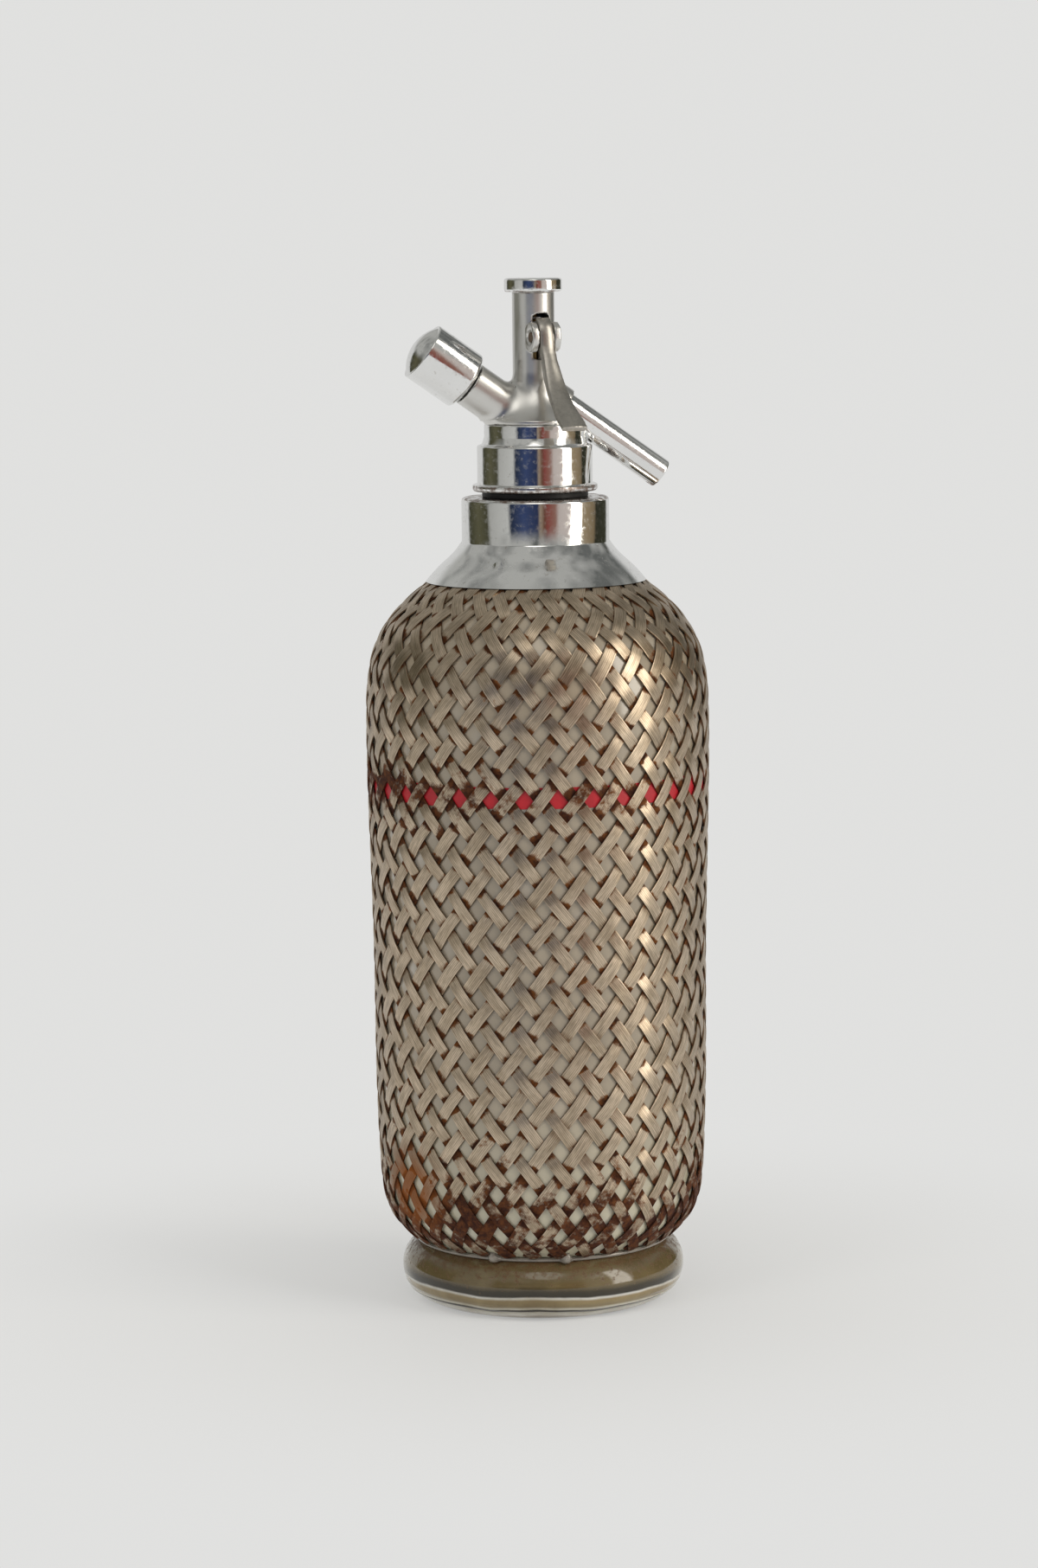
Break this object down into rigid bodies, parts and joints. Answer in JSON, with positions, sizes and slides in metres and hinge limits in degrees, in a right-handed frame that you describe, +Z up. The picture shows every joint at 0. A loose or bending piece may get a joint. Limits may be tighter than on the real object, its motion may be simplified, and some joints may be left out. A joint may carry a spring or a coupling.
{
  "type": "soda siphon",
  "caption": "Glass soda siphon in a woven metal sleeve, with a screwed-on metal head, squeeze lever, slanting spout and capped charging inlet.",
  "frame": {"origin": "centre of the base, on the surface that the bottle stands on", "axes": "+Z up along the bottle's axis, +X towards the spout, -X towards the charging inlet; the lever points towards -Y, turned 10 degrees to the spout's side"},
  "size_m": [0.1042, 0.1042, 0.3105],
  "materials": {
    "glass": "clear, smoky",
    "woven_metal": "tarnished, woven",
    "dark_wire": "dark, dull",
    "red_paint": "matt",
    "chrome": "polished, pitted",
    "chrome_satin": "worn polish",
    "lever_satin": "satin",
    "brass": "turned",
    "steel": "bright",
    "tin_tube": "dull",
    "rubber": "matt",
    "cement": "chalky"
  },
  "bodies": {
    "bottle": {"bottle": "glass", "mesh_sleeve": "woven_metal", "sleeve_hem": "dark_wire", "fill_line": "red_paint", "shoulder_collar": "chrome", "neck_cement": "cement", "mouth_washer": "rubber", "neck_bush": "brass", "neck_seal": "rubber"},
    "dip_tube": {"dip_tube": "tin_tube", "tube_ferrule": "rubber"},
    "head": {"head_casting": "chrome_satin", "neck_cap": "chrome", "head_washer": "rubber", "column_cap": "chrome_satin", "gland_packing": "rubber", "gland_nut": "brass", "valve_seat": "brass", "lever_pin": "brass", "spout_tube": "chrome", "needle_carrier": "brass", "tube_nut": "brass", "valve_spring": "steel"},
    "lever": {"lever": "lever_satin"},
    "spindle": {"valve_spindle": "brass", "valve_washer": "rubber", "lift_collar": "brass"},
    "inlet_ball": {"inlet_ball": "steel"},
    "cap_washer": {"cap_washer": "rubber"},
    "inlet_cap": {"inlet_cap": "chrome"}
  },
  "joints": [
    {"name": "head_lift", "type": "slide", "parent": "bottle", "child": "dip_tube", "axis": [0, 0, 1], "range_m": [0, 0.009]},
    {"name": "head_turn", "type": "hinge", "parent": "dip_tube", "child": "head", "pos_m": [0, 0, 0.25], "axis": [0, 0, 1], "range_deg": [0, 1080]},
    {"name": "lever_squeeze", "type": "hinge", "parent": "head", "child": "lever", "pos_m": [0.00127, -0.00719, 0.293], "axis": [0.9848, 0.1736, 0], "range_deg": [0, 16], "stiffness_Nm_per_rad": 0.5, "springref_deg": -5.73},
    {"name": "spindle_lift", "type": "slide", "parent": "head", "child": "spindle", "axis": [0, 0, 1], "range_m": [0, 0.00246], "deforming": ["valve_spring"]},
    {"name": "cap_travel", "type": "slide", "parent": "head", "child": "cap_washer", "axis": [-0.8192, 0, 0.5736], "range_m": [0, 0.008]},
    {"name": "cap_turn", "type": "hinge", "parent": "cap_washer", "child": "inlet_cap", "pos_m": [-0.02703, 0, 0.28423], "axis": [-0.8192, 0, 0.5736], "range_deg": [0, 1440]},
    {"name": "inlet_valve", "type": "slide", "parent": "head", "child": "inlet_ball", "axis": [-0.8192, 0, 0.5736], "range_m": [0, 0.0012]}
  ],
  "couplings": [
    {"joint": "head_lift", "follows": "head_turn", "m_per_rad": 0.00047746},
    {"joint": "spindle_lift", "follows": "lever_squeeze", "m_per_rad": 0.0088},
    {"joint": "cap_travel", "follows": "cap_turn", "m_per_rad": 0.00031831}
  ]
}
